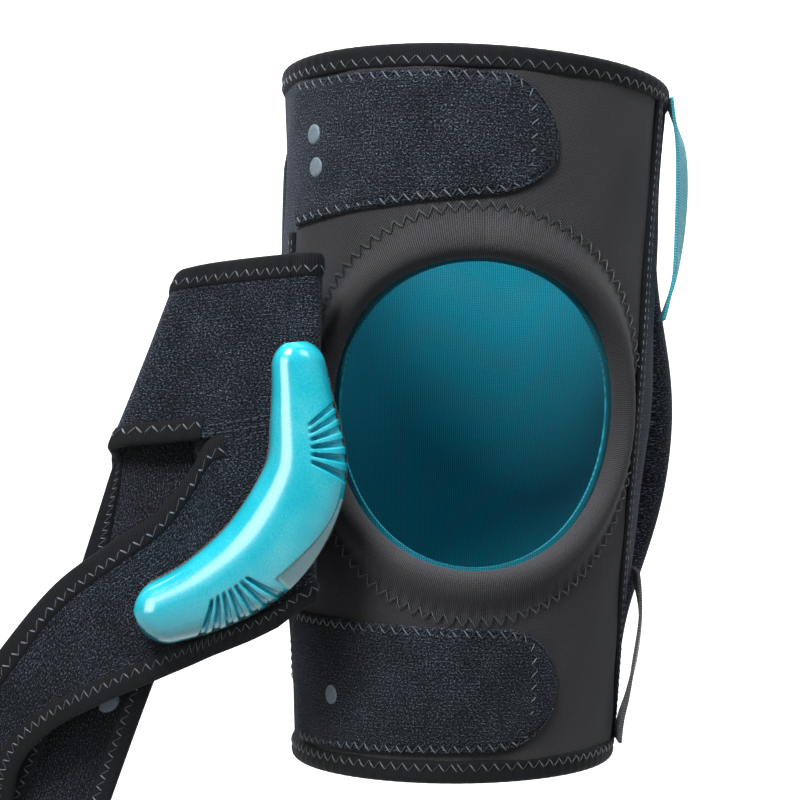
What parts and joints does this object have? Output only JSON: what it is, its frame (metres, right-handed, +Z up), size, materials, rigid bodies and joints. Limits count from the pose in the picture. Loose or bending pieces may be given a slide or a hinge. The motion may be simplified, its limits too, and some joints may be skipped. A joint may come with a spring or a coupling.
{
  "type": "open-patella knee support wrap",
  "caption": "Wrap-around knee support sleeve with a patella opening, side stays, pull loops and a peeled-open strap wing that carries a crescent buttress.",
  "frame": {"origin": "on the leg's axis, level with the middle of the patella opening", "axes": "+Z up the leg to the thigh, -Y out of the front of the knee, +X to the viewer's right"},
  "size_m": [0.2617, 0.1653, 0.3305],
  "materials": {
    "jersey": "fine charcoal knit, matt",
    "plush_loop": "black loop plush",
    "binding_tape": "black folded edge tape with grey zigzag stitches",
    "lining": "teal knit",
    "teal_webbing": "teal grosgrain",
    "grey_webbing": "dark grey grosgrain",
    "teal_gel": "glossy moulded elastomer",
    "silicone_dot": "matt slate grey print",
    "hook_tape": "moulded hook tape",
    "spring_steel": "flat spring steel"
  },
  "bodies": {
    "shell": {"front_panel": "jersey", "popliteal_knit_panel": "jersey", "patella_ring": "jersey", "right_side_panel": "plush_loop", "left_side_panel": "plush_loop", "upper_loop_patch": "plush_loop", "lower_loop_patch": "plush_loop", "right_stay_pocket": "plush_loop", "left_stay_pocket": "plush_loop", "wing_root_panel": "plush_loop", "top_binding": "binding_tape", "bottom_binding": "binding_tape", "front_right_seam_piping": "binding_tape", "front_left_seam_piping": "binding_tape", "inner_lining": "lining", "upper_pull_loop_top_tab": "teal_webbing", "upper_pull_loop_bottom_tab": "teal_webbing", "lower_pull_loop_top_tab": "grey_webbing", "lower_pull_loop_bottom_tab": "grey_webbing", "upper_patch_dot_high": "silicone_dot", "upper_patch_dot_low": "silicone_dot", "lower_patch_dot": "silicone_dot", "right_spring_stay": "spring_steel", "left_spring_stay": "spring_steel"},
    "upper_pull_loop": {"upper_pull_loop": "teal_webbing"},
    "lower_pull_loop": {"lower_pull_loop": "grey_webbing"},
    "wing": {"wing_upper_panel": "plush_loop", "wing_top_binding": "binding_tape", "wing_lower_panel": "plush_loop", "wing_bottom_binding": "binding_tape"},
    "buttress": {"crescent_buttress": "teal_gel", "buttress_hook_pad": "hook_tape"},
    "lower_strap": {"lower_strap": "plush_loop", "lower_strap_top_binding": "binding_tape", "lower_strap_bottom_binding": "binding_tape", "lower_hook_tab": "hook_tape"},
    "upper_strap": {"upper_strap": "plush_loop", "upper_strap_right_binding": "binding_tape", "upper_strap_left_binding": "binding_tape", "upper_hook_tab": "hook_tape", "upper_strap_dot": "silicone_dot"}
  },
  "joints": [
    {"name": "wing_fold", "type": "hinge", "parent": "shell", "child": "wing", "pos_m": [-0.051, -0.074, -0.005], "axis": [0, 0, 1], "range_deg": [-25, 75]},
    {"name": "buttress_pull_off", "type": "slide", "parent": "wing", "child": "buttress", "axis": [0, -1, 0], "range_m": [0, 0.03]},
    {"name": "upper_strap_unfold", "type": "hinge", "parent": "wing", "child": "upper_strap", "pos_m": [-0.107, -0.073, 0.0115], "axis": [0.381, 0, 0.9246], "range_deg": [0, 90]},
    {"name": "lower_strap_bend", "type": "hinge", "parent": "wing", "child": "lower_strap", "pos_m": [-0.109, -0.076, -0.069], "axis": [-0.38, 0, 0.925], "range_deg": [0, 60]},
    {"name": "upper_pull_loop_swing", "type": "hinge", "parent": "shell", "child": "upper_pull_loop", "pos_m": [0.073, -0.01, 0.078], "axis": [0, 0, 1], "range_deg": [-12, 12]},
    {"name": "lower_pull_loop_swing", "type": "hinge", "parent": "shell", "child": "lower_pull_loop", "pos_m": [0.065, -0.01, -0.087], "axis": [0.09, 0, 0.9959], "range_deg": [-12, 12]}
  ]
}
